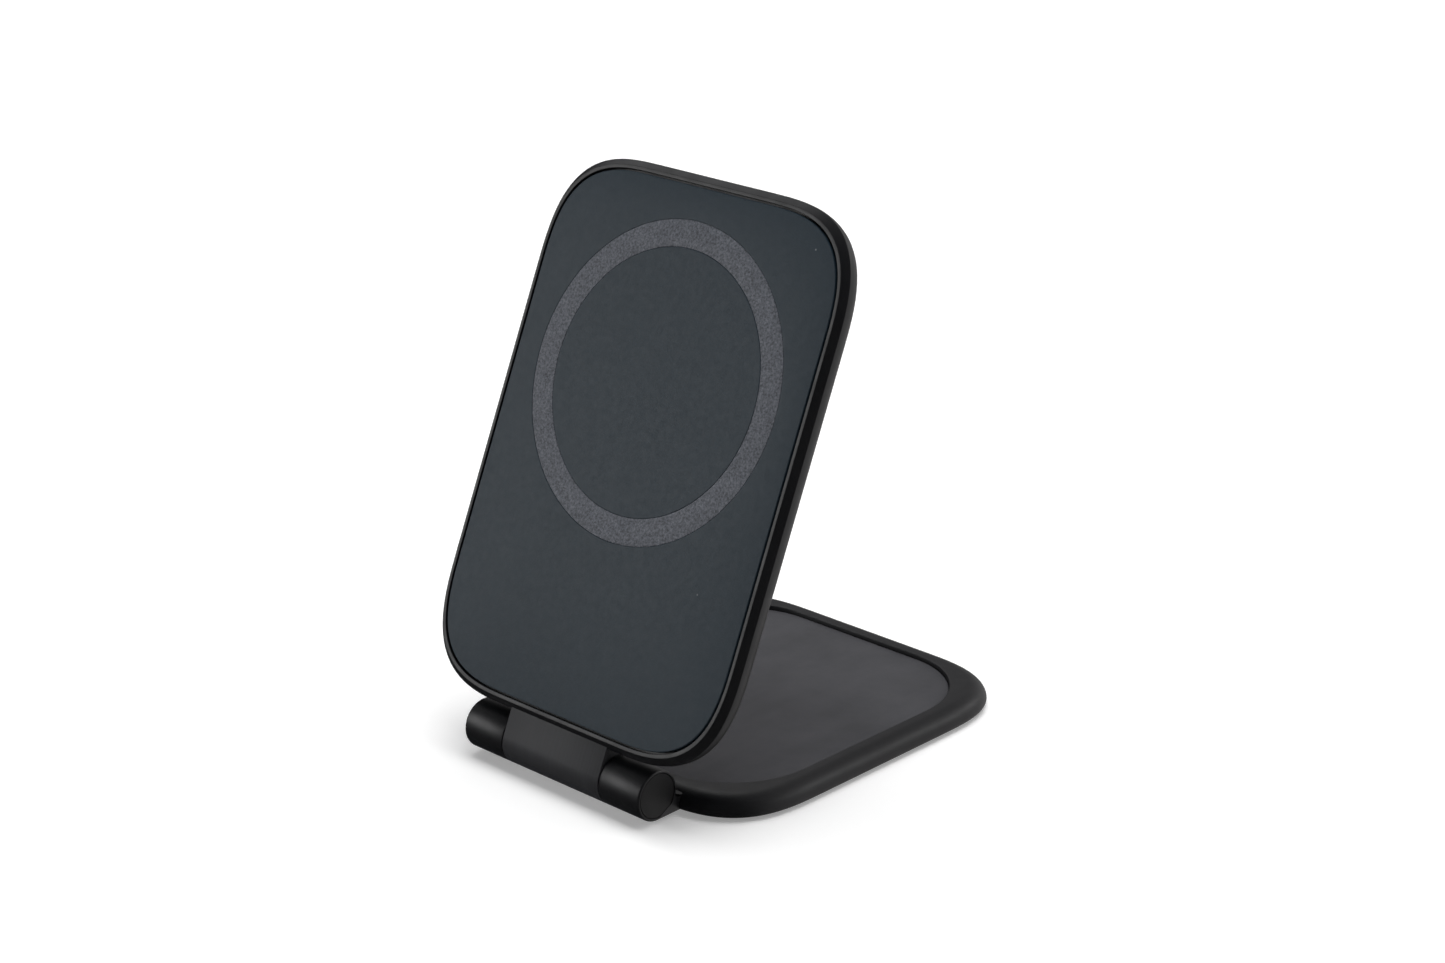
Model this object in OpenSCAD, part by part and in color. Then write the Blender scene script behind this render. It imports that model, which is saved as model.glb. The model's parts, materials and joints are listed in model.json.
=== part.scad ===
// Folding magnetic phone stand: a weighted base tray and a thin upright pad,
// joined along the front by a friction hinge.
// Millimetres, +Z up, X across, Y towards the back. The origin is on the table,
// under the middle of the whole stand as it stands open.

/* [Pad] */
// Width of the pad over its housing
pad_w = 70.8; // [68:0.2:76]
// Height of the pad over its housing, measured along the pad
pad_h = 96.6; // [90:0.2:104]
// Thickness of the pad
pad_t = 5.6; // [5.4:0.1:6.4]
// Reach of the soft corners along each edge of the pad
pad_corner = 22; // [16:0.5:26]
// Width and depth of the bevel around the pad's front edge
bevel = 1.1; // [0.8:0.1:1.4]
// Width of the flat lip between the bevel and the groove
lip = 0.65; // [0.4:0.05:0.9]
// Width of the groove between the lip and the face panel
groove = 0.35; // [0.2:0.05:0.5]
// Thickness of the face panel
panel_t = 1.0; // [0.8:0.1:1.2]
// Outer diameter of the magnet mark ring
ring_od = 56; // [54:0.5:58]
// Inner diameter of the magnet mark ring
ring_id = 46.4; // [45:0.2:48]
// Height of the ring's centre above the middle of the pad
ring_rise = 12.6; // [8:0.2:16]

/* [Base] */
// Width of the base
base_w = 70.8; // [68:0.2:76]
// Depth of the base from front to back
base_d = 73.6; // [68:0.2:80]
// Height of the base's rim above the table
base_h = 4.2; // [4.1:0.1:4.3]
// Reach of the soft corners along each edge of the base
base_corner = 21; // [16:0.5:24]
// Width of the rim around the recess
rim = 4.2; // [3.6:0.1:5]
// Depth of the recess from the rim to the mat
recess = 0.8; // [0.6:0.1:0.9]

/* [Hinge] */
// Angle of the pad above the table
tilt = 65.7; // [0:0.1:80]
// Radius of the hinge barrel
barrel_r = 4.5; // [4.4:0.05:4.6]
// Height of the hinge axis above the table
axis_z = 5.05; // [4.95:0.05:5.1]
// Distance of the hinge axis behind the pad's face
axis_behind_face = 5.3; // [5.2:0.05:5.35]
// Distance from the hinge axis to the lower edge of the pad
pad_above_axis = 4.8; // [4.7:0.05:5]
// Distance from the hinge axis back to the front edge of the base
base_behind_axis = 4.6; // [4.6:0.05:5]
// Radius of the hinge shaft
shaft_r = 1.8; // [1.6:0.1:2]
// Radial clearance between the shaft and what turns on it
running = 0.03; // [0.02:0.01:0.06]

/* [Hidden] */

$fn = 64;
skin = 0.02;              // thickness of the slices that a rounded shell is drawn over
corner_power = 3;         // power of the corner curve: 2 is a circle, more is squarer
recess_power = 2;         // the same, for the recess in the base and its mat
corner_steps = 12;        // straight steps in each soft corner
round_steps = 5;          // slices in each rounded edge
cut = 1;                  // how far a cutting shape runs past the face it opens

// Places along the hinge, from the left end to the right end
barrel_left = -21.6;
seam_left = -12.1;
centre_left = -11.9;
centre_right = 11.8;
seam_right = 12.1;
barrel_right = 21.6;
hinge_y = -(base_behind_axis + base_d - barrel_r) / 2;

// Pad, in its own frame: origin on the hinge axis, +Y up the pad, +Z out of the face
face_z = axis_behind_face;
back_z = face_z - pad_t;
pad_mid = pad_above_axis + pad_h / 2;
ring_y = pad_mid + ring_rise;
side_flat = 1.3;          // depth from the face at which the side starts to round over
back_round = 3.7;         // width of the rounded edge at the back
edge_in = bevel + lip;    // from the outline in to the groove
adhesive_t = 0.2;
back_wall = 1.4;
ledge = 1.6;              // width of the step that the face panel lies on
adhesive_in = 0.4;        // how far the adhesive stops short of the panel's edge
inlay_gap = 0.05;         // clearance around the mark ring in its channel
cavity_in = edge_in + groove + ledge;
seat_z = face_z - panel_t - adhesive_t;
floor_z = back_z + back_wall;
ring_depth = 0.3;

// Magnet array, behind the mark ring
magnet_count = 16;
magnet_in = 23;
magnet_out = 27.4;
magnet_t = 2.0;
magnet_split = 1;         // degrees between two magnets
magnet_gap = 0.1;         // clearance between the magnets and the face adhesive
carrier_hole_r = 17;      // radius of the carrier's open middle
shunt_t = 0.4;
pocket_gap = 0.2;
carrier_screw_x = 27.5;
carrier_screw_y = [-37, 37];

// Hinge leaf inside the pad
neck_back = 0.4;
neck_top = 6.2;
leaf_top = 22;
leaf_t = 1.0;
leaf_left = -10.5;
leaf_right = 10.5;
leaf_screw_x = [-7.5, 0, 7.5];
leaf_screw_y = 17.5;
leaf_clear = 1;           // clearance between the leaf and the magnet carrier

// Bushes and friction sleeve inside the centre knuckle
bush_r = 2.8;
bush_l = 5;
sleeve_gap = 0.4;         // between the sleeve and each bush
sleeve_slot = 0.8;        // width of the sleeve's slit

// Base, in its own frame: origin on the table under the hinge axis, +Y to the back
base_mid = base_behind_axis + base_d / 2;
shell_z = 0.5;
cover_t = 0.6;
cover_top = shell_z + cover_t;
deck_z = 2.3;             // underside of the deck that carries the mat
mat_t = 0.4;
mat_z = base_h - recess - mat_t;
wide_z = 1.3;             // height at which the base is widest
roll = 3.0;               // width of the rounded edge of the rim
under_in = 0.9;           // how far the underside is drawn in from the widest outline
chin_in = 0.25;           // how far the base is drawn in at chin_z
chin_z = 0.9;
mat_gap = 0.1;
cover_gap = 0.1;
ballast_gap = 0.3;
cover_in = 1.2;
pocket_in = rim + 1;
foot_r = 5;
foot_t = 0.8;
foot_x = 23;
foot_y = [-24, 24];

// Hinge brackets
web_top = 3.6;
web_end = base_behind_axis + 1.4;
web_bottom = 0.6;
bracket_end = 17;
cap_t = 0.8;
cap_r = 4.05;
cap_gap = 0.1;
head_r = 3.0;
head_t = 2.0;
head_gap = 0.2;
head_play = 0.3;          // between the shaft's head and its cap
nut_play = 0.6;           // between the shaft's nut and its cap
tip_gap = 0.2;            // between the shaft's tip and the cap
bracket_screw_y = 13;

// Friction stack, sunk into the inner end of the right knuckle
washer_x = centre_right + 0.1;
washer_r = 3.6;
washer_t = 0.4;
spring_x = washer_x + washer_t + 0.05;
spring_r = 3.4;
spring_t = 0.5;
stack_end = spring_x + spring_t + 0.05;

// Cover screws, measured in from the outline of the base
cover_screw_in = 3.0;
back_screw_x = 26;
back_screw_in = 4.5;

// Screws
screw_r = 0.6;
screw_head_r = 1.2;
screw_head_t = 0.5;
cover_head_t = 0.35;
screw_gap = 0.1;          // clearance around a screw in a piece that it passes through
screw_bite = 0.35;        // how far a screw goes into the wall behind what it holds
pilot = 0.4;              // depth of the hole that it goes into
thread_z = 2.3;           // length of the cover screws
wall_left = 0.4;          // material left under the holes in the pad's back wall

black = [0.09, 0.09, 0.1];
brushed = [0.2, 0.2, 0.21];
graphite = [0.17, 0.17, 0.18];
frost = [0.36, 0.37, 0.38];
slate = [0.24, 0.27, 0.29];
steel = [0.62, 0.63, 0.65];
bronze = [0.66, 0.5, 0.28];

// Outline of a soft-cornered rectangle, centred on the origin
function soft_rect(w, h, r, power = corner_power) = [
    for (quarter = [0:3])
        for (i = [0:corner_steps])
            let (sx = quarter == 0 || quarter == 3 ? 1 : -1,
                 sy = quarter < 2 ? 1 : -1,
                 turn = quarter % 2 == 0 ? i : corner_steps - i,
                 a = 90 * turn / corner_steps)
            [sx * (w / 2 - r + r * pow(cos(a), 2 / power)),
             sy * (h / 2 - r + r * pow(sin(a), 2 / power))]
];

// Rounded edge from [inset, z] = [0, z0] to [width, z1], as a quarter of an ellipse
function round_edge(width, z0, z1) = [
    for (i = [0:round_steps])
        let (a = 90 * i / round_steps)
        [width * (1 - cos(a)), z0 + (z1 - z0) * sin(a)]
];

module soft_slab(w, h, r, inset, z0, z1, power = corner_power) {
    translate([0, 0, z0])
        linear_extrude(z1 - z0)
            polygon(soft_rect(w - 2 * inset, h - 2 * inset, r - inset, power));
}

// Solid body whose outline is drawn in by each [inset, z] of the profile
module soft_body(w, h, r, profile) {
    hull()
        for (step = profile)
            soft_slab(w, h, r, step[0], step[1] - skin / 2, step[1] + skin / 2);
}

// Slab with the pad's outline, drawn in by inset, between two heights
module pad_slab(inset, z0, z1) {
    translate([0, pad_mid, 0])
        soft_slab(pad_w, pad_h, pad_corner, inset, z0, z1);
}

// Slab with the base's outline, drawn in by inset, between two heights
module base_slab(inset, z0, z1, power = corner_power) {
    translate([0, base_mid, 0])
        soft_slab(base_w, base_d, base_corner, inset, z0, z1, power);
}

module in_base() {
    translate([0, hinge_y, 0])
        children();
}

module in_pad() {
    translate([0, hinge_y, axis_z])
        rotate([tilt, 0, 0])
            children();
}

// Round bar along X between two places, on the hinge axis
module hinge_bar(x0, x1, r, sides = 64) {
    translate([x0, 0, 0])
        rotate([0, 90, 0])
            cylinder(h = x1 - x0, r = r, $fn = sides);
}

// Box between two corners
module block(low, high) {
    translate(low)
        cube(high - low);
}

// Flat-headed screw that points down; its head's underside is at z = 0
module screw(reach) {
    cylinder(h = screw_head_t, r = screw_head_r);
    translate([0, 0, -reach])
        cylinder(h = reach, r = screw_r);
}

// Hole for that screw, open above
module screw_hole(reach, head_depth) {
    cylinder(h = head_depth, r = screw_head_r + pocket_gap);
    translate([0, 0, -reach])
        cylinder(h = reach + skin, r = screw_r);
}

// ---- Base ----

module base_foot_places() {
    for (x = [-foot_x, foot_x], y = foot_y)
        translate([x, base_mid + y, 0])
            children();
}

module cover_screw_places() {
    for (side = [-1, 1]) {
        translate([side * (base_w / 2 - cover_screw_in), base_mid, shell_z])
            children();
        translate([side * back_screw_x, base_mid + base_d / 2 - back_screw_in, shell_z])
            children();
    }
}

// Space that a bracket takes inside the base's front wall
module bracket_space(x0, x1) {
    block([x0, 0, 0], [x1, web_end, web_top]);
    block([x0, 0, cover_top], [x1, bracket_end, deck_z]);
}

module base_shell() {
    color(black)
        in_base()
            difference() {
                translate([0, base_mid, 0])
                    soft_body(base_w, base_d, base_corner,
                              concat([[under_in, shell_z], [chin_in, chin_z]],
                                     round_edge(roll, wide_z, base_h)));
                base_slab(rim, mat_z, base_h + cut, recess_power);
                base_slab(cover_in, shell_z - cut, cover_top);
                base_slab(pocket_in, cover_top - skin, deck_z);
                bracket_space(barrel_left, seam_left);
                bracket_space(seam_right, barrel_right);
                cover_screw_places()
                    cylinder(h = thread_z + screw_gap, r = screw_r);
                bracket_screw_places()
                    translate([0, 0, -skin])
                        cylinder(h = pilot, r = screw_r);
            }
}

module base_mat() {
    color(graphite)
        in_base()
            base_slab(rim + mat_gap, mat_z, mat_z + mat_t, recess_power);
}

module ballast_plate() {
    color(steel)
        in_base()
            difference() {
                base_slab(pocket_in + ballast_gap, cover_top, deck_z);
                block([-base_w, 0, 0], [base_w, bracket_end + ballast_gap, base_h]);
            }
}

module bottom_cover() {
    color(graphite)
        in_base()
            difference() {
                base_slab(cover_in + cover_gap, shell_z, cover_top);
                base_foot_places()
                    cylinder(h = foot_t, r = foot_r);
                cover_screw_places() {
                    translate([0, 0, -cut])
                        cylinder(h = cut + cover_head_t, r = screw_head_r + screw_gap);
                    cylinder(h = cut, r = screw_r + screw_gap);
                }
                block([barrel_left - cover_gap, 0, 0],
                      [seam_left + cover_gap, web_end + cover_gap, base_h]);
                block([seam_right - cover_gap, 0, 0],
                      [barrel_right + cover_gap, web_end + cover_gap, base_h]);
            }
}

module cover_screws() {
    color(steel)
        in_base()
            cover_screw_places() {
                cylinder(h = cover_head_t, r = screw_head_r);
                cylinder(h = thread_z, r = screw_r);
            }
}

module foot_pads() {
    color(black)
        in_base()
            base_foot_places()
                cylinder(h = foot_t, r = foot_r);
}

// ---- Hinge: pieces that stay with the base ----

module bracket_screw_places() {
    for (x = [(barrel_left + seam_left) / 2, (seam_right + barrel_right) / 2])
        translate([x, bracket_screw_y, deck_z])
            children();
}

// End knuckle with its web and the leaf that lies under the base's deck
module bracket(x0, x1, outer_side) {
    x_cap = outer_side < 0 ? x0 : x1 - cap_t;
    x_head = outer_side < 0 ? x0 + cap_t - skin : x1 - cap_t - head_t - nut_play;
    color(black)
        in_base()
            difference() {
                union() {
                    translate([0, 0, axis_z])
                        hinge_bar(x0, x1, barrel_r);
                    block([x0, 0, web_bottom], [x1, web_end, web_top]);
                    block([x0, 0, cover_top], [x1, bracket_end, deck_z]);
                }
                translate([0, 0, axis_z]) {
                    hinge_bar(x0 - cut, x1 + cut, shaft_r + running);
                    hinge_bar(x_cap - (outer_side < 0 ? cut : 0),
                              x_cap + cap_t + (outer_side > 0 ? cut : 0), cap_r + cap_gap);
                    hinge_bar(x_head, x_head + head_t + nut_play + skin, head_r + head_gap);
                    if (outer_side > 0)
                        hinge_bar(x0 - cut, stack_end, washer_r + head_gap);
                }
                bracket_screw_places() {
                    translate([0, 0, -deck_z])
                        cylinder(h = deck_z + cut, r = screw_r);
                    translate([0, 0, cover_top - deck_z - cut])
                        cylinder(h = cut + screw_head_t, r = screw_head_r + screw_gap);
                }
            }
}

module bracket_left() bracket(barrel_left, seam_left, -1);

module bracket_right() bracket(seam_right, barrel_right, 1);

module bracket_screws() {
    color(steel)
        in_base()
            bracket_screw_places() {
                translate([0, 0, cover_top - deck_z])
                    cylinder(h = screw_head_t, r = screw_head_r);
                translate([0, 0, cover_top - deck_z])
                    cylinder(h = deck_z - cover_top + screw_bite, r = screw_r);
            }
}

module hinge_shaft() {
    head_x = barrel_left + cap_t + head_play;
    color(steel)
        translate([0, hinge_y, axis_z]) {
            hinge_bar(head_x, head_x + head_t, head_r);
            hinge_bar(head_x + head_t, barrel_right - cap_t - tip_gap, shaft_r);
        }
}

module shaft_nut() {
    nut_x = barrel_right - cap_t - nut_play - head_t;
    color(steel)
        translate([0, hinge_y, axis_z])
            difference() {
                hinge_bar(nut_x, nut_x + head_t, head_r, 6);
                hinge_bar(nut_x - cut, nut_x + head_t + cut, shaft_r + running);
            }
}

// Flat ring on the shaft
module washer(x, thick, r) {
    translate([0, hinge_y, axis_z])
        difference() {
            hinge_bar(x, x + thick, r);
            hinge_bar(x - cut, x + thick + cut, shaft_r + running);
        }
}

module thrust_washer() color(bronze) washer(washer_x, washer_t, washer_r);

module disc_springs() color(steel) washer(spring_x, spring_t, spring_r);

// Flat cover set flush into the outer end of a knuckle
module end_cap(x0) {
    color(black)
        translate([0, hinge_y, axis_z])
            hinge_bar(x0, x0 + cap_t, cap_r);
}

module end_cap_left() end_cap(barrel_left);

module end_cap_right() end_cap(barrel_right - cap_t);

// ---- Hinge: pieces that turn with the pad ----

module leaf_screw_places() {
    for (x = leaf_screw_x)
        translate([x, leaf_screw_y, floor_z + leaf_t])
            children();
}

module centre_knuckle() {
    color(brushed)
        in_pad()
            difference() {
                union() {
                    hinge_bar(centre_left, centre_right, barrel_r);
                    block([centre_left, 0, neck_back], [centre_right, neck_top, barrel_r]);
                    block([leaf_left, 0, floor_z], [leaf_right, leaf_top, floor_z + leaf_t]);
                }
                hinge_bar(centre_left - cut, centre_right + cut, bush_r);
                leaf_screw_places()
                    translate([0, 0, -leaf_t - cut])
                        cylinder(h = leaf_t + 2 * cut, r = screw_r);
            }
}

// Sleeve around the shaft, pressed into the centre knuckle
module bush(x0, x1) {
    in_pad()
        difference() {
            hinge_bar(x0, x1, bush_r);
            hinge_bar(x0 - cut, x1 + cut, shaft_r + running);
        }
}

module bush_left() color(bronze) bush(centre_left, centre_left + bush_l);

module bush_right() color(bronze) bush(centre_right - bush_l, centre_right);

// Split spring sleeve that grips the shaft and gives the hinge its drag
module friction_sleeve() {
    color(steel)
        difference() {
            bush(centre_left + bush_l + sleeve_gap, centre_right - bush_l - sleeve_gap);
            in_pad()
                block([centre_left, -sleeve_slot / 2, -barrel_r],
                      [centre_right, sleeve_slot / 2, 0]);
        }
}

module knuckle_screws() {
    color(steel)
        in_pad()
            leaf_screw_places()
                screw(leaf_t + back_wall - wall_left);
}

// ---- Pad ----

module carrier_screw_places() {
    for (x = [-carrier_screw_x, carrier_screw_x], y = carrier_screw_y)
        translate([x, pad_mid + y, seat_z - screw_head_t - screw_gap])
            children();
}

module pad_housing() {
    color(black)
        in_pad()
            difference() {
                translate([0, pad_mid, 0])
                    soft_body(pad_w, pad_h, pad_corner,
                              concat([[bevel, face_z], [0, face_z - bevel]],
                                     round_edge(back_round, face_z - side_flat, back_z)));
                pad_slab(edge_in, seat_z, face_z + cut);
                pad_slab(cavity_in, floor_z, face_z);
                block([centre_left, 0, neck_back], [centre_right, neck_top, barrel_r]);
                block([leaf_left, 0, floor_z], [leaf_right, leaf_top, floor_z + leaf_t]);
                carrier_screw_places()
                    translate([0, 0, floor_z - seat_z - pilot])
                        cylinder(h = cut, r = screw_r);
                leaf_screw_places()
                    translate([0, 0, -leaf_t - back_wall + wall_left])
                        cylinder(h = back_wall, r = screw_r);
            }
}

module face_panel() {
    color(slate)
        in_pad()
            difference() {
                pad_slab(edge_in + groove, face_z - panel_t, face_z);
                translate([0, ring_y, face_z - ring_depth])
                    difference() {
                        cylinder(h = ring_depth + cut, d = ring_od);
                        translate([0, 0, -cut])
                            cylinder(h = ring_depth + 3 * cut, d = ring_id);
                    }
            }
}

module mark_ring() {
    color(frost)
        in_pad()
            translate([0, ring_y, face_z - ring_depth])
                difference() {
                    cylinder(h = ring_depth, d = ring_od - 2 * inlay_gap);
                    translate([0, 0, -cut])
                        cylinder(h = ring_depth + 2 * cut, d = ring_id + 2 * inlay_gap);
                }
}

module face_adhesive() {
    color("ivory")
        in_pad()
            pad_slab(edge_in + groove + adhesive_in, seat_z, seat_z + adhesive_t);
}

// Ring pocket for the magnets and the shunt, open towards the face
module magnet_pocket() {
    translate([0, ring_y, seat_z - magnet_t - shunt_t])
        difference() {
            cylinder(h = magnet_t + shunt_t + cut, r = magnet_out + pocket_gap);
            translate([0, 0, -cut])
                cylinder(h = magnet_t + shunt_t + 3 * cut, r = magnet_in - pocket_gap);
        }
}

module magnet_carrier() {
    color("dimgray")
        in_pad()
            difference() {
                pad_slab(cavity_in + pocket_gap, floor_z, seat_z);
                magnet_pocket();
                translate([0, ring_y, floor_z - cut])
                    cylinder(h = pad_t, r = carrier_hole_r);
                block([leaf_left - leaf_clear, 0, floor_z - cut],
                      [leaf_right + leaf_clear, leaf_top + leaf_clear, face_z]);
                carrier_screw_places()
                    screw_hole(pad_t, pad_t);
            }
}

module magnet_segments() {
    pitch = 360 / magnet_count;
    color(steel)
        in_pad()
            translate([0, ring_y, seat_z - magnet_t])
                for (i = [0:magnet_count - 1])
                    rotate([0, 0, i * pitch])
                        rotate_extrude(angle = pitch - magnet_split)
                            translate([magnet_in, 0])
                                square([magnet_out - magnet_in, magnet_t - magnet_gap]);
}

module shunt_ring() {
    color(steel)
        in_pad()
            translate([0, ring_y, seat_z - magnet_t - shunt_t])
                difference() {
                    cylinder(h = shunt_t, r = magnet_out);
                    translate([0, 0, -cut])
                        cylinder(h = shunt_t + 2 * cut, r = magnet_in);
                }
}

module carrier_screws() {
    color(steel)
        in_pad()
            carrier_screw_places()
                screw(seat_z - screw_head_t - screw_gap - floor_z + screw_bite);
}

base_shell();
base_mat();
ballast_plate();
bottom_cover();
cover_screws();
foot_pads();
bracket_left();
bracket_right();
bracket_screws();
hinge_shaft();
shaft_nut();
disc_springs();
thrust_washer();
end_cap_left();
end_cap_right();
centre_knuckle();
bush_left();
bush_right();
friction_sleeve();
knuckle_screws();
pad_housing();
face_panel();
mark_ring();
face_adhesive();
magnet_carrier();
magnet_segments();
shunt_ring();
carrier_screws();
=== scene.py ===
"""Visual model of the folding magnetic phone stand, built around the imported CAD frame."""

import json
from math import acos, atan2, cos, pi, radians, sin, sqrt, tan

import bmesh
import bpy
from mathutils import Matrix, Vector


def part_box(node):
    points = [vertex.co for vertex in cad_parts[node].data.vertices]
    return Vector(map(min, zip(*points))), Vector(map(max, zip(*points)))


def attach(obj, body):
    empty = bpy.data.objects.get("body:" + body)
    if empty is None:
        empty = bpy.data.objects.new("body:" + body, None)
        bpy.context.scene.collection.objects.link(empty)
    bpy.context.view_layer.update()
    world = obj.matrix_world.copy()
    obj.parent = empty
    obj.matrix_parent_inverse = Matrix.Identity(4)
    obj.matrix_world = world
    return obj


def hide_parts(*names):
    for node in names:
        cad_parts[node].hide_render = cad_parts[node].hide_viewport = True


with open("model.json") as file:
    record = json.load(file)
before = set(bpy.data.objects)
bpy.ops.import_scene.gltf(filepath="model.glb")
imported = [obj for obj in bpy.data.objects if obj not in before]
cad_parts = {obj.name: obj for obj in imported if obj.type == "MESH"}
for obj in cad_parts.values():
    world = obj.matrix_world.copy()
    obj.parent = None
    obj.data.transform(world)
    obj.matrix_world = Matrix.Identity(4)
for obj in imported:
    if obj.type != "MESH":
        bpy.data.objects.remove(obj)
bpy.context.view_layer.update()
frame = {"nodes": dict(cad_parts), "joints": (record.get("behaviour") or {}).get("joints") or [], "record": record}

MM = 0.001

# ---------------------------------------------------------------- places from the frame

HINGE = Vector(frame["joints"][0]["pos_m"])
LEFT_LOW, LEFT_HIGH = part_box("bracket_left")
RIGHT_LOW, RIGHT_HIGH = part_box("bracket_right")
BASE_LOW, BASE_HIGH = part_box("base_shell")
MAT_LOW, MAT_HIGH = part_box("base_mat")
COVER_LOW, COVER_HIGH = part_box("bottom_cover")
FOOT_LOW, FOOT_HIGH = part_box("foot_pads")
SCREW_LOW, SCREW_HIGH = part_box("cover_screws")

# Dimensions that the design holds and a box can't give, in millimetres and degrees
TILT = radians(65.7)
PAD_W, PAD_H, PAD_T = 70.8, 96.6, 5.6
PAD_CORNER = 22
PAD_ABOVE_AXIS = 4.8                  # from the hinge axis up to the pad's lower edge
FACE_Z = 5.3                          # from the hinge axis forward to the face
BEVEL, LIP, GROOVE = 1.1, 0.65, 0.35
PANEL_T, ADHESIVE_T = 1.0, 0.2
SIDE_FLAT, BACK_ROUND = 1.3, 3.7      # where the side meets the back's round, and its width
RING_OUT, RING_IN, RING_DEPTH = 28.0, 23.2, 0.3
RING_RISE = 12.6                      # ring's centre above the pad's
RING_GAP = 0.05
BASE_CORNER = 21
RIM, ROLL = 4.2, 3.0                  # rim's whole width, and the rounded part of it
WIDE_Z = 1.3                          # height at which the base is widest
UNDER_IN, CHIN_IN, CHIN_Z = 0.85, 0.15, 0.85     # how the rim draws in below that height
COVER_GAP, MAT_GAP = 0.1, 0.1
BARREL_R = 4.5
CENTRE_LOW, CENTRE_HIGH = -11.9, 11.8
SHAFT_HOLE_R, BORE_R = 1.9, 2.0
CAP_R, CAP_T, CAP_SUNK, CAP_GAP = 3.92, 0.8, 0.06, 0.13
WEB_TOP, WEB_BOTTOM, WEB_END, WEB_FILLET = 3.6, 0.6, 6.0, 0.5
WEB_LEAVES, WEB_MEETS = -12, -85      # bearings at which the barrel starts and ends
NECK_TOP, NECK_BACK, NECK_MEETS = 5.5, 0.4, 5
FOOT_R, FOOT_RIM, FOOT_HOLLOW = 5, 1, 0.08
BACK_SCREW_X = 26
HEAD_R, HEAD_T, SHANK_R = 1.2, 0.35, 0.6
SOCKET_R, SOCKET_T = 0.62, 0.25

# How finely shapes are drawn
CORNER_POWER, RECESS_POWER = 3, 2     # 2 is a circular corner, and 3 is squarer
CORNER_STEPS, SPACING = 24, 1.5
FILLET_STEPS, SMALL_STEPS = 4, 3
BACK_STEPS, ROLL_STEPS = 10, 14
ARC_STEPS, RING_STEPS, CAP_STEPS, SMALL_TURN_STEPS, WALL_STEPS = 90, 180, 96, 72, 64
LEAST_TURN = 0.002                    # between neighbouring points of a circle, in radians
SAME_POINT = 1e-6                     # closer points than this are one, in millimetres
MERGE, FLAT = 1e-7, 1e-8              # the same for a mesh, and its shortest edge, in metres
SHARP_ANGLE = radians(32)
PIN_R = 0.3                           # flat middle of a turned piece, in millimetres
QUARTER = ((0, 1), (0.14, 0.5), (0.5, 0.14), (1, 0))     # a rounded edge: inwards, along

# Camera and surroundings, in metres unless said
VIEW_AZIMUTH, VIEW_ELEVATION, VIEW_ROLL = radians(44.49), radians(20.90), radians(-0.80)
VIEW_RIGHT, VIEW_DOWN, VIEW_AWAY = 0.01159, 0.01673, 0.53168
SENSOR, LENS = 36, 78.73              # in millimetres
NEAREST = 0.01
AIM = Vector((0, 0, 0.04))            # where the lights point
BRIGHT_SIDE = Vector((0.45, 0.89, 0))
DIM_FRONT, PALE_BACK = (0.03, 0.031, 0.033, 1), (0.62, 0.61, 0.61, 1)
DIM_UNTIL, PALE_FROM = 0.52, 0.95
FLOOR_REACH, FLOOR_GLOW = 6.0, 0.25
WALL_AWAY, WALL_UP = 5800, 5000       # in millimetres
WALL_GLOW = 0.75
LIGHTS = (
    # name, azimuth, elevation, distance, (width, height), watts, seen in reflections
    ("top", 180, 82, 1.7, (1.5, 1.2), 24, False),
    ("left", -44, 14, 1.1, (0.8, 0.5), 3.6, True),
    ("side", -112, 45, 1.3, (0.9, 0.9), 2.2, True),
    ("back", 145, 24, 1.5, (1.2, 0.3), 2.4, True),
)

BASE_W = (BASE_HIGH.x - BASE_LOW.x) / MM
BASE_D = (BASE_HIGH.y - BASE_LOW.y) / MM
BASE_TOP = BASE_HIGH.z / MM
SHELL_Z = BASE_LOW.z / MM
COVER_TOP = COVER_HIGH.z / MM
DECK_Z = MAT_LOW.z / MM
MAT_TOP = MAT_HIGH.z / MM
BASE_MID = Vector((0, (BASE_LOW.y + BASE_HIGH.y) / 2, 0))
BASE = Matrix.Translation(BASE_MID)

PAD = Matrix.Translation(HINGE) @ Matrix.Rotation(TILT, 4, "X")
PAD_MID = PAD_ABOVE_AXIS + PAD_H / 2
FACE = PAD @ Matrix.Translation((0, PAD_MID * MM, FACE_Z * MM))
RING = FACE @ Matrix.Translation((0, RING_RISE * MM, 0))
EDGE_IN = BEVEL + LIP


# ---------------------------------------------------------------- camera

def view_axes(azimuth, elevation, roll):
    """Right, up and backward directions of a camera that looks from azimuth and elevation."""
    back = Vector((sin(azimuth) * cos(elevation), -cos(azimuth) * cos(elevation), sin(elevation)))
    right = Vector((cos(azimuth), sin(azimuth), 0))
    up = back.cross(right)
    turned_right = right * cos(roll) + up * sin(roll)
    return turned_right, back.cross(turned_right), back


def make_camera():
    """Camera that looks at the stand from the front right, a little above it."""
    right, up, back = view_axes(VIEW_AZIMUTH, VIEW_ELEVATION, VIEW_ROLL)
    middle = RING.to_translation() + VIEW_RIGHT * right - VIEW_DOWN * up
    data = bpy.data.cameras.new("camera")
    data.sensor_width = SENSOR
    data.lens = LENS
    data.clip_start = NEAREST
    camera = bpy.data.objects.new("camera", data)
    axes = Matrix((right, up, back)).transposed().to_4x4()
    camera.matrix_world = Matrix.Translation(middle + VIEW_AWAY * back) @ axes
    bpy.context.scene.collection.objects.link(camera)
    bpy.context.scene.camera = camera


make_camera()


# ---------------------------------------------------------------- outlines and profiles

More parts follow.
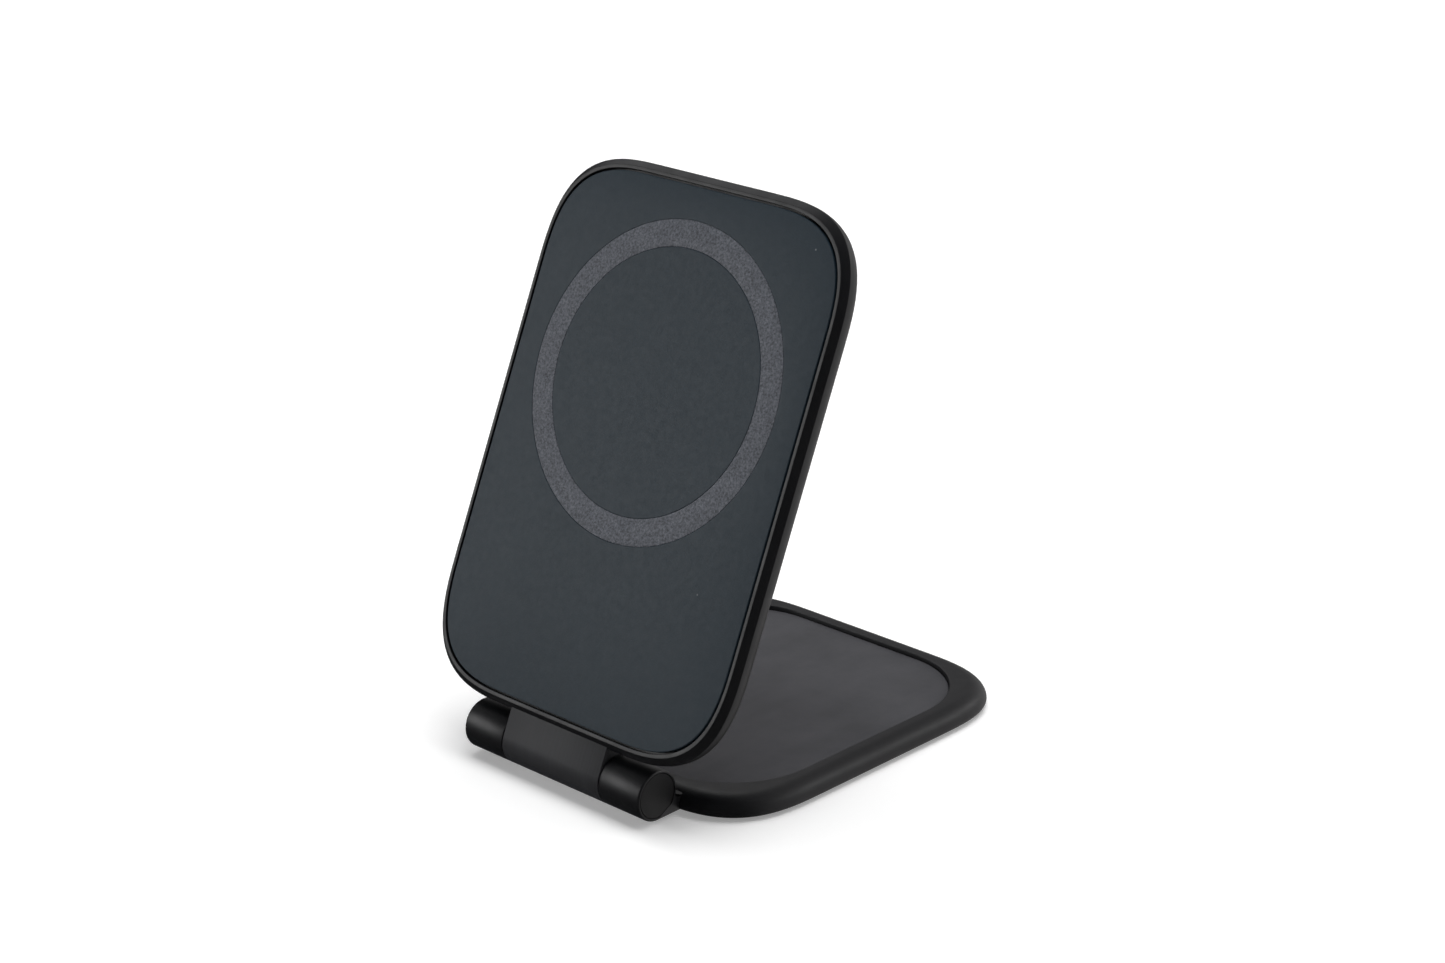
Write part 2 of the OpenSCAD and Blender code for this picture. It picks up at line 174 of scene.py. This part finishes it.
def soft_rect(width, height, corner):
    """Anticlockwise outline of a soft-cornered rectangle, in millimetres."""
    w, h, r = width / 2, height / 2, corner
    points = []
    for quarter in range(4):
        sx = 1 if quarter in (0, 3) else -1
        sy = 1 if quarter < 2 else -1
        turns = range(CORNER_STEPS + 1) if quarter % 2 == 0 else range(CORNER_STEPS, -1, -1)
        for i in turns:
            a = (pi / 2) * i / CORNER_STEPS
            points.append(Vector((sx * (w - r + r * max(cos(a), 0) ** (2 / CORNER_POWER)),
                                  sy * (h - r + r * max(sin(a), 0) ** (2 / CORNER_POWER)))))
    full = []
    for i, p in enumerate(points):
        q = points[(i + 1) % len(points)]
        if (q - p).length < SAME_POINT:
            continue
        pieces = max(1, int((q - p).length / SPACING))
        full += [p.lerp(q, k / pieces) for k in range(pieces)]
    return full


def softened(corners, steps=FILLET_STEPS):
    """Points of a polyline through (a, b, radius) corners, rounded at all but its ends."""
    points = []
    for i, (a, b, radius) in enumerate(corners):
        here = Vector((a, b))
        if radius <= 0 or i in (0, len(corners) - 1):
            points.append(here)
            continue
        before = (Vector(corners[i - 1][:2]) - here).normalized()
        after = (Vector(corners[i + 1][:2]) - here).normalized()
        half = acos(max(-1, min(1, before.dot(after)))) / 2
        reach = radius / tan(half)
        centre = here + (before + after).normalized() * (radius / sin(half))
        start, end = here + before * reach - centre, here + after * reach - centre
        sweep = start.angle_signed(end)
        for k in range(steps + 1):
            turn = -sweep * k / steps
            points.append(centre + Vector((start.x * cos(turn) - start.y * sin(turn),
                                           start.x * sin(turn) + start.y * cos(turn))))
    return points


def quarter_round(width, z0, z1, steps):
    """Corners for softened: a quarter ellipse from the side at z0 over to the face at z1."""
    return [(width * (1 - cos(pi / 2 * i / steps)), z0 + (z1 - z0) * sin(pi / 2 * i / steps), 0)
            for i in range(1, steps + 1)]


# ---------------------------------------------------------------- mesh making

def make_piece(name, bm, body, slot, node):
    """Finishes a mesh as a piece that rides on a body and takes the place of a CAD node."""
    bmesh.ops.remove_doubles(bm, verts=bm.verts, dist=MERGE)
    bmesh.ops.dissolve_degenerate(bm, edges=bm.edges, dist=FLAT)
    bmesh.ops.recalc_face_normals(bm, faces=bm.faces)
    mesh = bpy.data.meshes.new(name)
    bm.to_mesh(mesh)
    bm.free()
    mesh.shade_smooth()
    mesh.set_sharp_from_angle(angle=SHARP_ANGLE)
    mesh.materials.append(BY_SLOT[slot])
    piece = bpy.data.objects.new(name, mesh)
    bpy.context.scene.collection.objects.link(piece)
    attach(piece, body)
    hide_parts(node)


def loft(bm, loops, cap_first=True, cap_last=True):
    """Skins a row of loops that all have the same number of points."""
    rings = [[bm.verts.new(p) for p in loop] for loop in loops]
    for one, two in zip(rings, rings[1:]):
        for i in range(len(one)):
            j = (i + 1) % len(one)
            bm.faces.new((one[i], one[j], two[j], two[i]))
    if cap_first:
        bm.faces.new(list(reversed(rings[0])))
    if cap_last:
        bm.faces.new(rings[-1])


def outline_loops(width, height, corner, profile, place, power_at=lambda inset: CORNER_POWER):
    """Loops of the soft rectangle at each (inset, z) of the profile, put in place."""
    flat = soft_rect(width, height, corner)
    loops = []
    for inset, z in profile:
        drawn_in = [draw_in(p, width, height, corner, inset, power_at(inset)) for p in flat]
        loops.append([place @ Vector((p.x * MM, p.y * MM, z * MM)) for p in drawn_in])
    return loops


def corner_reach(bearing, power):
    """Distance of a unit corner curve from its centre at a bearing."""
    return (cos(bearing) ** power + sin(bearing) ** power) ** (-1 / power)


def draw_in(p, width, height, corner, inset, power):
    """Moves an outline point to the outline drawn in by inset, with corners of that power."""
    straight = Vector((width / 2 - corner, height / 2 - corner))
    beyond = Vector((max(abs(p.x) - straight.x, 0), max(abs(p.y) - straight.y, 0)))
    scale = (corner - inset) / corner
    if min(beyond) > 0:
        bearing = atan2(beyond.y, beyond.x)
        scale *= corner_reach(bearing, power) / corner_reach(bearing, CORNER_POWER)
    moved = [side_in(value, reach, extra * scale)
             for value, reach, extra in zip(p, straight, beyond)]
    return Vector(moved)


def side_in(value, reach, extra):
    """One coordinate of a drawn-in point: unchanged along a straight side."""
    if extra == 0:
        return value
    return (reach + extra) * (1 if value > 0 else -1)


def turned(profile, place, steps):
    """Loops of (radius, height) points, in millimetres, turned about the Z axis of place."""
    bearings = [2 * pi * i / steps for i in range(steps)]
    return [[place @ Vector((r * cos(a) * MM, r * sin(a) * MM, z * MM)) for a in bearings]
            for r, z in profile]


def along_bar(sections, axes):
    """Loops from (YZ outline, place along X) sections, in the frame of axes."""
    return [[axes @ Vector((x * MM, p.x * MM, p.y * MM)) for p in loop] for loop, x in sections]


def chamfered(outline, x, towards, amount):
    """Sections of a finely rounded edge at x, from the end to where the outline is whole."""
    slight = amount * 0.3
    return [(shrink(outline, amount), x), (shrink(outline, slight), x + towards * slight),
            (outline, x + towards * amount)]


def shrink(loop, amount):
    """Closed 2-D outline drawn in by amount along its normals."""
    count = len(loop)
    moved = []
    for i, p in enumerate(loop):
        before, after = loop[i - 1], loop[(i + 1) % count]
        tangent = (after - before).normalized()
        moved.append(p + Vector((-tangent.y, tangent.x)) * amount)
    return moved


def circle_at(loop, radius):
    """Circle with a point near the bearing of each point of an anticlockwise loop."""
    points, last = [], None
    for p in loop:
        bearing = atan2(p.y, p.x)
        if last is not None:
            bearing += 2 * pi * round((last - bearing) / (2 * pi))
            bearing = max(bearing, last + LEAST_TURN)
        last = bearing
        points.append(Vector((radius * cos(bearing), radius * sin(bearing))))
    return points


# ---------------------------------------------------------------- materials
# Noise scales are in grains across a metre, and a bump is given its height.

class Nodes:
    """Short way to write a node tree."""

    def __init__(self, name, base, roughness, metallic=0.0, **sockets):
        self.material = bpy.data.materials.new(name)
        self.material.use_nodes = True
        self.tree = self.material.node_tree
        self.shader = self.tree.nodes["Principled BSDF"]
        self.shader.inputs["Base Color"].default_value = (*base, 1)
        self.shader.inputs["Roughness"].default_value = roughness
        self.shader.inputs["Metallic"].default_value = metallic
        for socket, value in sockets.items():
            self.shader.inputs[socket.replace("_", " ")].default_value = value
        self.material.diffuse_color = (*base, 1)
        self.place = self.add("ShaderNodeTexCoord").outputs["Object"]

    def add(self, kind, **settings):
        """New node of a kind, with its settings."""
        node = self.tree.nodes.new(kind)
        for key, value in settings.items():
            setattr(node, key, value)
        return node

    def link(self, source, target):
        self.tree.links.new(source, target)

    def stretched(self, scale):
        """Place on the object, scaled unevenly."""
        mapping = self.add("ShaderNodeMapping")
        mapping.inputs["Scale"].default_value = scale
        self.link(self.place, mapping.inputs["Vector"])
        return mapping.outputs["Vector"]

    def noise(self, scale, detail, rough=0.55, vector=None):
        """Noise whose grain is about 1 / scale metres across."""
        node = self.add("ShaderNodeTexNoise")
        node.inputs["Scale"].default_value = scale
        node.inputs["Detail"].default_value = detail
        node.inputs["Roughness"].default_value = rough
        self.link(vector or self.place, node.inputs["Vector"])
        return node.outputs["Fac"]

    def ramp(self, value, *stops):
        """Colour ramp through (position, colour or grey) stops."""
        node = self.add("ShaderNodeValToRGB")
        while len(node.color_ramp.elements) < len(stops):
            node.color_ramp.elements.new(0.5)
        for element, (position, colour) in zip(node.color_ramp.elements, stops):
            element.position = position
            element.color = (*colour, 1) if hasattr(colour, "__len__") else (*(colour,) * 3, 1)
        self.link(value, node.inputs["Fac"])
        return node.outputs["Color"]

    def mix(self, mode, factor, one, two):
        node = self.add("ShaderNodeMix", data_type="RGBA", blend_type=mode)
        if isinstance(factor, (int, float)):
            node.inputs["Factor"].default_value = factor
        else:
            self.link(factor, node.inputs["Factor"])
        for value, socket in ((one, node.inputs[6]), (two, node.inputs[7])):
            if hasattr(value, "is_linked"):
                self.link(value, socket)
            else:
                socket.default_value = (*value, 1)
        return node.outputs[2]

    def spread(self, value, low, high):
        """Stretches a noise's usual values over low to high."""
        node = self.add("ShaderNodeMapRange")
        node.inputs["From Min"].default_value = 0.25
        node.inputs["From Max"].default_value = 0.75
        node.inputs["To Min"].default_value = low
        node.inputs["To Max"].default_value = high
        self.link(value, node.inputs["Value"])
        return node.outputs["Result"]

    def bump(self, height, distance, strength, under=None):
        node = self.add("ShaderNodeBump")
        node.inputs["Strength"].default_value = strength
        node.inputs["Distance"].default_value = distance
        self.link(height, node.inputs["Height"])
        if under is not None:
            self.link(under, node.inputs["Normal"])
        return node.outputs["Normal"]

    def finish(self, colour, roughness=None, normal=None):
        """Joins what is given to the shader, and returns the material."""
        for value, socket in ((colour, "Base Color"), (roughness, "Roughness"), (normal, "Normal")):
            if value is not None:
                self.link(value, self.shader.inputs[socket])
        return self.material


def shade(colour, factor):
    """Colour made darker or paler."""
    return tuple(min(1, c * factor) for c in colour)


def satin_metal(name, base, roughness):
    """Fine blasted, black finished metal: soft patches, small grain, a few paler specks."""
    n = Nodes(name, base, roughness, Specular_IOR_Level=0.5)
    patches = n.ramp(n.noise(70, 4), (0.3, shade(base, 0.88)), (0.7, shade(base, 1.12)))
    specks = n.ramp(n.noise(5200, 2), (0.66, 0.0), (0.78, 0.35))
    colour = n.mix("ADD", specks, patches, shade(base, 0.6))
    normal = n.bump(n.noise(5200, 3), 0.012 * MM, 0.5)
    return n.finish(colour, n.spread(n.noise(260, 4), roughness - 0.05, roughness + 0.06), normal)


def turned_metal(name, base, roughness):
    """Black finish over faint lines turned around the X axis."""
    n = Nodes(name, base, roughness, Specular_IOR_Level=0.5)
    lines = n.noise(1.0, 5, 0.7, n.stretched((2600, 14, 14)))
    broad = n.noise(1.0, 3, 0.6, n.stretched((420, 10, 10)))
    colour = n.ramp(lines, (0.3, shade(base, 0.74)), (0.72, shade(base, 1.25)))
    colour = n.mix("MULTIPLY", 0.4, colour, n.ramp(broad, (0.3, 0.85), (0.7, 1.0)))
    normal = n.bump(lines, 0.012 * MM, 0.6, n.bump(n.noise(4200, 2), 0.010 * MM, 0.4))
    return n.finish(colour, n.spread(lines, roughness - 0.05, roughness + 0.06), normal)


def slate_coat(name, base, roughness):
    """Soft satin coat with a fine leathery blast texture, slight mottling and a little dust."""
    n = Nodes(name, base, roughness, Specular_IOR_Level=0.42)
    mottle = n.ramp(n.noise(32, 5, 0.6), (0.3, shade(base, 0.98)), (0.7, shade(base, 1.02)))
    grain = n.ramp(n.noise(2600, 3, 0.6), (0.3, 0.88), (0.7, 1.0))
    colour = n.mix("MULTIPLY", 1.0, mottle, grain)
    dust = n.add("ShaderNodeTexVoronoi")
    dust.inputs["Scale"].default_value = 120
    n.link(n.place, dust.inputs["Vector"])
    specks = n.ramp(dust.outputs["Distance"], (0.0, 0.6), (0.028, 0.0))
    rare = n.mix("MULTIPLY", 1.0, specks, n.ramp(n.noise(210, 1), (0.56, 0.0), (0.62, 1.0)))
    colour = n.mix("MIX", rare, colour, (0.3, 0.31, 0.32))
    broad = n.bump(n.noise(800, 2), 0.03 * MM, 0.35)
    normal = n.bump(n.noise(2600, 3, 0.6), 0.03 * MM, 0.5, broad)
    return n.finish(colour, n.spread(n.noise(900, 3), roughness - 0.03, roughness + 0.04), normal)


def frosted_coat(name, base, roughness):
    """Pale frosted print with darker and paler specks."""
    n = Nodes(name, base, roughness, Specular_IOR_Level=0.4)
    grain = n.ramp(n.noise(2400, 4, 0.7), (0.34, shade(base, 0.5)),
                   (0.5, base), (0.66, shade(base, 1.6)))
    mottle = n.ramp(n.noise(260, 3), (0.3, 0.86), (0.7, 1.0))
    colour = n.mix("MULTIPLY", 1.0, grain, mottle)
    normal = n.bump(n.noise(3000, 4, 0.7), 0.04 * MM, 0.6)
    return n.finish(colour, n.spread(n.noise(420, 2), roughness - 0.05, roughness + 0.05), normal)


def matt_mat(name, base, roughness):
    """Matt rubbery sheet with handling smudges and faint streaks."""
    n = Nodes(name, base, roughness, Specular_IOR_Level=0.35)
    smudge = n.ramp(n.noise(38, 7, 0.66), (0.34, shade(base, 0.78)), (0.66, shade(base, 1.14)))
    streak = n.noise(1.0, 4, 0.6, n.stretched((260, 26, 26)))
    colour = n.mix("MULTIPLY", 0.5, smudge, n.ramp(streak, (0.35, 0.88), (0.6, 1.0)))
    normal = n.bump(n.noise(4200, 2), 0.01 * MM, 0.4)
    return n.finish(colour, n.spread(n.noise(60, 5), roughness - 0.08, roughness + 0.06), normal)


def moulded(name, base, roughness, grain=0.03 * MM):
    """Moulded plastic or rubber with a fine spark texture."""
    n = Nodes(name, base, roughness, Specular_IOR_Level=0.4)
    colour = n.ramp(n.noise(180, 4), (0.3, shade(base, 0.88)), (0.7, shade(base, 1.12)))
    normal = n.bump(n.noise(2400, 2), grain, 0.5)
    return n.finish(colour, n.spread(n.noise(300, 3), roughness - 0.05, roughness + 0.05), normal)


def bare_metal(name, base, roughness, stretch=(900, 60, 60)):
    """Uncoated metal with fine working marks."""
    n = Nodes(name, base, roughness, metallic=1.0)
    marks = n.noise(1.0, 4, 0.6, n.stretched(stretch))
    colour = n.ramp(marks, (0.3, shade(base, 0.86)), (0.7, shade(base, 1.08)))
    normal = n.bump(marks, 0.008 * MM, 0.5)
    return n.finish(colour, n.spread(marks, roughness - 0.06, roughness + 0.08), normal)


MATERIALS = (
    # recipe, slot, colour, roughness and what else the recipe takes
    (satin_metal, "black_metal", (0.0054, 0.0055, 0.0068), 0.42),
    (turned_metal, "brushed_black", (0.0225, 0.023, 0.0265), 0.56),
    (slate_coat, "slate_face", (0.0125, 0.0250, 0.0365), 0.52),
    (frosted_coat, "ring_grey", (0.096, 0.103, 0.121), 0.60),
    (matt_mat, "grey_mat", (0.060, 0.060, 0.066), 0.66),
    (moulded, "cap_black", (0.0030, 0.0030, 0.0036), 0.55, 0.012 * MM),
    (moulded, "foot_rubber", (0.016, 0.016, 0.017), 0.78),
    (moulded, "moulded_plastic", (0.026, 0.026, 0.028), 0.55),
    (satin_metal, "black_screw", (0.022, 0.022, 0.024), 0.36),
    (moulded, "adhesive_film", (0.62, 0.61, 0.56), 0.4),
    (bare_metal, "plain_steel", (0.52, 0.525, 0.54), 0.32),
    (bare_metal, "ground_steel", (0.6, 0.605, 0.62), 0.2, (3000, 40, 40)),
    (bare_metal, "dark_spring", (0.10, 0.10, 0.11), 0.38),
    (bare_metal, "bronze", (0.45, 0.29, 0.12), 0.42, (400, 400, 400)),
    (bare_metal, "magnet_nickel", (0.62, 0.61, 0.58), 0.22),
)
BY_SLOT = {slot: recipe(slot, *rest) for recipe, slot, *rest in MATERIALS}


def paint_cad_nodes():
    """Gives every CAD node its own slot's material, for the pieces that stay as they are."""
    for row in frame["record"]["subparts"]:
        mesh = frame["nodes"][row["node"]].data
        mesh.materials.clear()
        mesh.materials.append(BY_SLOT[row["material_slot"]])


# ---------------------------------------------------------------- pad

def make_housing():
    """Rim, bevel, side and rounded back, with the seat of the face panel."""
    seat = -PANEL_T - ADHESIVE_T
    corners = [(EDGE_IN, seat, 0), (EDGE_IN, 0, 0.10), (BEVEL, 0, 0.10),
               (0, -BEVEL, 0.12), (0, -SIDE_FLAT, 0)]
    corners += quarter_round(BACK_ROUND, -SIDE_FLAT, -PAD_T, BACK_STEPS)
    bm = bmesh.new()
    loft(bm, outline_loops(PAD_W, PAD_H, PAD_CORNER, softened(corners), FACE))
    make_piece("pad_shell", bm, "pad", "black_metal", "pad_housing")


def make_panel():
    """Face panel: a soft-edged sheet with a shallow round channel for the mark ring."""
    inset = EDGE_IN + GROOVE
    edge = softened([(inset, -PANEL_T, 0), (inset, 0, 0.16), (inset + 1, 0, 0)])[:-1]
    loops = outline_loops(PAD_W, PAD_H, PAD_CORNER, edge, FACE)
    to_ring = RING.inverted()
    bearings = [to_ring @ p for p in loops[-1]]
    beside = 0.3
    channel = softened([(RING_OUT + beside, 0, 0), (RING_OUT, 0, 0.05),
                        (RING_OUT, -RING_DEPTH, 0), (RING_IN, -RING_DEPTH, 0),
                        (RING_IN, 0, 0.05), (RING_IN - beside, 0, 0)])
    for radius, z in channel:
        loops.append([RING @ Vector((p.x * MM, p.y * MM, z * MM))
                      for p in circle_at(bearings, radius)])
    bm = bmesh.new()
    loft(bm, loops)
    make_piece("face_sheet", bm, "pad", "slate_face", "face_panel")


def make_mark():
    """Frosted ring, flush with the panel in its channel."""
    out, inner = RING_OUT - RING_GAP, RING_IN + RING_GAP
    under = ((out + inner) / 2, -RING_DEPTH, 0)
    profile = softened([under, (out, -RING_DEPTH, 0.02), (out, 0, 0.06),
                        (inner, 0, 0.06), (inner, -RING_DEPTH, 0.02), under])[:-1]
    bm = bmesh.new()
    loops = turned(profile, RING, RING_STEPS)
    loft(bm, loops + [loops[0]], cap_first=False, cap_last=False)
    make_piece("mark_inlay", bm, "pad", "ring_grey", "mark_ring")


# ---------------------------------------------------------------- base

def base_power(inset):
    """The recess has rounder corners than the outline of the base."""
    return RECESS_POWER if inset > (ROLL + RIM) / 2 else CORNER_POWER


def make_base():
    """Tray with a rolled rim, a recess in its top and a seat for the cover below."""
    cover_in = (COVER_LOW.x - BASE_LOW.x) / MM - COVER_GAP
    corners = [(cover_in, COVER_TOP, 0), (cover_in, SHELL_Z, 0.05), (UNDER_IN, SHELL_Z, 0.2),
               (CHIN_IN, CHIN_Z, 0.2), (0, WIDE_Z, 0)]
    corners += quarter_round(ROLL, WIDE_Z, BASE_TOP, ROLL_STEPS)
    corners += [(RIM, BASE_TOP, 0.16), (RIM, DECK_Z, 0)]
    bm = bmesh.new()
    loft(bm, outline_loops(BASE_W, BASE_D, BASE_CORNER, softened(corners), BASE, base_power))
    make_piece("base_tray", bm, "base", "black_metal", "base_shell")


def make_mat():
    """Sheet on the floor of the recess, with a soft upper edge."""
    inset = RIM + MAT_GAP
    profile = softened([(inset + 0.05, DECK_Z, 0), (inset, MAT_TOP, 0.14), (inset + 1, MAT_TOP, 0)])
    bm = bmesh.new()
    loft(bm, outline_loops(BASE_W, BASE_D, BASE_CORNER, profile, BASE, base_power))
    make_piece("tray_mat", bm, "base", "grey_mat", "base_mat")


# ---------------------------------------------------------------- hinge

def barrel_arc(start, end):
    """Points of the barrel's circle from one bearing to another, in degrees."""
    turns = [radians(start + (end - start) * i / ARC_STEPS) for i in range(ARC_STEPS + 1)]
    return [Vector((BARREL_R * cos(a), BARREL_R * sin(a))) for a in turns]


def bracket_outline():
    """End knuckle and web, anticlockwise; Y is to the back and Z up from the hinge axis."""
    low = WEB_BOTTOM - HINGE.z / MM
    high = WEB_TOP - HINGE.z / MM
    leave_y = sqrt(BARREL_R ** 2 - high ** 2)
    tail = softened([(0, low, 0), (WEB_END, low, 0.4), (WEB_END, high, 0.2),
                     (leave_y + WEB_FILLET, high, 0.3), (leave_y, high + WEB_FILLET, 0)],
                    SMALL_STEPS)
    return barrel_arc(WEB_LEAVES, WEB_MEETS + 360) + tail[1:-1]


def make_bracket(name, inner, outer, outwards, node):
    """End knuckle, with a rounded outer end that holds a round seat for the cap."""
    x_inner, x_outer = inner.x / MM, outer.x / MM
    outline = bracket_outline()
    soft, round_r, seat_soft = 0.16, 0.34, 0.03
    seat = circle_at(outline, CAP_R + CAP_GAP)
    sections = [(circle_at(outline, SHAFT_HOLE_R), x_inner)]
    sections += chamfered(outline, x_inner, outwards, soft)
    for inwards, along in QUARTER:
        shape = shrink(outline, round_r * inwards) if inwards else outline
        sections.append((shape, x_outer - outwards * round_r * along))
    sections += [(circle_at(outline, CAP_R + CAP_GAP + seat_soft), x_outer),
                 (seat, x_outer - outwards * seat_soft), (seat, x_outer - outwards * CAP_T)]
    bm = bmesh.new()
    loft(bm, along_bar(sections, Matrix.Translation(HINGE)))
    make_piece(name, bm, "base", "black_metal", node)


def make_cap(name, outer, outwards, node):
    """Round cap, sunk a little into the end of its knuckle."""
    turn = Matrix.Rotation(pi / 2 * outwards, 4, "Y")
    place = Matrix.Translation((outer.x, HINGE.y, HINGE.z)) @ turn
    profile = softened([(PIN_R, -CAP_T, 0), (CAP_R, -CAP_T, 0.05), (CAP_R, -CAP_SUNK, 0.06),
                        (PIN_R, -CAP_SUNK, 0)])
    bm = bmesh.new()
    loft(bm, turned(profile, place, CAP_STEPS))
    make_piece(name, bm, "base", "cap_black", node)


def centre_outline():
    """Barrel with an apron drawn up from its front, anticlockwise, in the pad's frame."""
    corner = softened([(NECK_TOP, NECK_BACK, 0), (NECK_TOP, BARREL_R, 0.14), (0, BARREL_R, 0)],
                      SMALL_STEPS)
    face = [Vector((NECK_TOP * k / 4, BARREL_R)) for k in (3, 2, 1)]
    return corner[:-1] + face + barrel_arc(90, NECK_MEETS + 360)


def make_centre():
    """Centre knuckle, with finely rounded ends."""
    soft = 0.12
    outline = centre_outline()
    bore = circle_at(outline, BORE_R)
    sections = [(bore, CENTRE_LOW)] + chamfered(outline, CENTRE_LOW, 1, soft)
    sections += chamfered(outline, CENTRE_HIGH, -1, soft)[::-1] + [(bore, CENTRE_HIGH)]
    bm = bmesh.new()
    loft(bm, along_bar(sections, PAD))
    make_piece("centre_barrel", bm, "pad", "brushed_black", "centre_knuckle")


# ---------------------------------------------------------------- underside

def make_feet():
    """Round rubber feet, slightly hollow below."""
    bm = bmesh.new()
    reach, middle, inner_r = FOOT_R * MM, 0.4, FOOT_R - FOOT_RIM
    profile = softened([(middle, FOOT_HIGH.z / MM, 0), (FOOT_R, FOOT_HIGH.z / MM, 0),
                        (FOOT_R, 0, 0.22), (inner_r + 0.1, 0, 0.05),
                        (inner_r, FOOT_HOLLOW, 0.05), (middle, FOOT_HOLLOW, 0)])
    for x in (FOOT_LOW.x + reach, FOOT_HIGH.x - reach):
        for y in (FOOT_LOW.y + reach, FOOT_HIGH.y - reach):
            loft(bm, turned(profile, Matrix.Translation((x, y, 0)), SMALL_TURN_STEPS))
    make_piece("rubber_feet", bm, "base", "foot_rubber", "foot_pads")


def hex_loop(place, radius, z, flat):
    """Loop of points around place; flat of 1 makes it a hexagon and 0 a circle."""
    points = []
    for i in range(SMALL_TURN_STEPS):
        a = 2 * pi * i / SMALL_TURN_STEPS
        hexagon = radius * cos(pi / 6) / cos(a % (pi / 3) - pi / 6)
        reach = radius + (hexagon - radius) * flat
        points.append(place @ Vector((reach * cos(a) * MM, reach * sin(a) * MM, z * MM)))
    return points


def make_screws():
    """Cover screws: low flat heads with a hexagon socket, seen from below."""
    bottom, top = SCREW_LOW.z / MM, SCREW_HIGH.z / MM
    soft, middle, floor_z, under_z = 0.08, 0.1, bottom + SOCKET_T, bottom + HEAD_T
    rear_x = BACK_SCREW_X * MM
    side_x, rear_y = SCREW_HIGH.x - HEAD_R * MM, SCREW_HIGH.y - HEAD_R * MM
    bm = bmesh.new()
    for x, y in ((side_x, BASE_MID.y), (-side_x, BASE_MID.y), (rear_x, rear_y), (-rear_x, rear_y)):
        place = Matrix.Translation((x, y, 0))
        loft(bm, [hex_loop(place, r, z, flat) for r, z, flat in (
            (middle, floor_z, 1), (SOCKET_R, floor_z, 1), (SOCKET_R, bottom, 1),
            (HEAD_R - soft, bottom, 0), (HEAD_R, bottom + soft, 0), (HEAD_R, under_z, 0),
            (SHANK_R, under_z, 0), (SHANK_R, top, 0))])
    make_piece("cover_screw_heads", bm, "base", "black_screw", "cover_screws")


# ---------------------------------------------------------------- build

paint_cad_nodes()
make_housing()
make_panel()
make_mark()
make_base()
make_mat()
make_bracket("knuckle_left", LEFT_HIGH, LEFT_LOW, -1, "bracket_left")
make_bracket("knuckle_right", RIGHT_LOW, RIGHT_HIGH, 1, "bracket_right")
make_cap("cap_left", LEFT_LOW, -1, "end_cap_left")
make_cap("cap_right", RIGHT_HIGH, 1, "end_cap_right")
make_centre()
make_feet()
make_screws()


# ---------------------------------------------------------------- floor and light

def make_stage(name, bm, material):
    """Object around the stand that no reflection shows."""
    mesh = bpy.data.meshes.new(name)
    bm.to_mesh(mesh)
    bm.free()
    mesh.materials.append(material)
    around = bpy.data.objects.new(name, mesh)
    bpy.context.scene.collection.objects.link(around)
    around.visible_glossy = False
    return around


def make_floor():
    """White paper that glows a little, so that it comes out white."""
    bm = bmesh.new()
    bmesh.ops.create_grid(bm, x_segments=2, y_segments=2, size=FLOOR_REACH)
    n = Nodes("floor_paper", (0.9, 0.9, 0.9), 0.9, Specular_IOR_Level=0.1,
              Emission_Color=(1, 1, 1, 1), Emission_Strength=FLOOR_GLOW)
    make_stage("floor", bm, n.finish(n.ramp(n.noise(3, 2), (0.3, 0.895), (0.7, 0.905))))


def make_backdrop():
    """Pale wall far around the floor. It only closes the view: it gives no light."""
    bm = bmesh.new()
    dome = [(WALL_AWAY, 0), (WALL_AWAY, WALL_UP),
            (WALL_AWAY / 2, WALL_UP * 1.6), (1, WALL_UP * 1.7)]
    loft(bm, turned(dome, Matrix.Identity(4), WALL_STEPS), cap_first=False)
    n = Nodes("backdrop_paper", (0.8, 0.8, 0.8), 0.9, Emission_Strength=WALL_GLOW)
    glow = n.ramp(n.noise(2, 1), (0.3, 0.8), (0.7, 0.81))
    n.link(glow, n.shader.inputs["Emission Color"])
    wall = make_stage("backdrop", bm, n.material)
    wall.visible_diffuse = False
    wall.visible_shadow = False


def add_light(name, azimuth, elevation, distance, size, power, mirrored):
    """Soft light that shines at the stand from an azimuth and elevation."""
    _, _, back = view_axes(radians(azimuth), radians(elevation), 0)
    data = bpy.data.lights.new(name, "AREA")
    data.shape = "RECTANGLE"
    data.size, data.size_y = size
    data.energy = power
    light = bpy.data.objects.new(name, data)
    light.location = AIM + back * distance
    light.rotation_euler = back.to_track_quat("Z", "Y").to_euler()
    light.visible_glossy = mirrored
    bpy.context.scene.collection.objects.link(light)


def make_world():
    """Studio room: pale behind the stand and to its right, dim in front of it."""
    world = bpy.data.worlds.new("studio")
    world.use_nodes = True
    tree = world.node_tree
    direction = tree.nodes.new("ShaderNodeTexCoord").outputs["Generated"]
    towards = tree.nodes.new("ShaderNodeVectorMath")
    towards.operation = "DOT_PRODUCT"
    towards.inputs[1].default_value = BRIGHT_SIDE
    ramp = tree.nodes.new("ShaderNodeValToRGB")
    shift = tree.nodes.new("ShaderNodeMapRange")
    shift.inputs["From Min"].default_value = -1
    tree.links.new(direction, towards.inputs[0])
    tree.links.new(towards.outputs["Value"], shift.inputs["Value"])
    tree.links.new(shift.outputs["Result"], ramp.inputs["Fac"])
    front, back = ramp.color_ramp.elements
    front.position, back.position = DIM_UNTIL, PALE_FROM
    front.color, back.color = DIM_FRONT, PALE_BACK
    tree.links.new(ramp.outputs["Color"], tree.nodes["Background"].inputs["Color"])
    bpy.context.scene.world = world


make_floor()
make_backdrop()
make_world()
for light in LIGHTS:
    add_light(*light)
bpy.context.scene.view_settings.view_transform = "Standard"
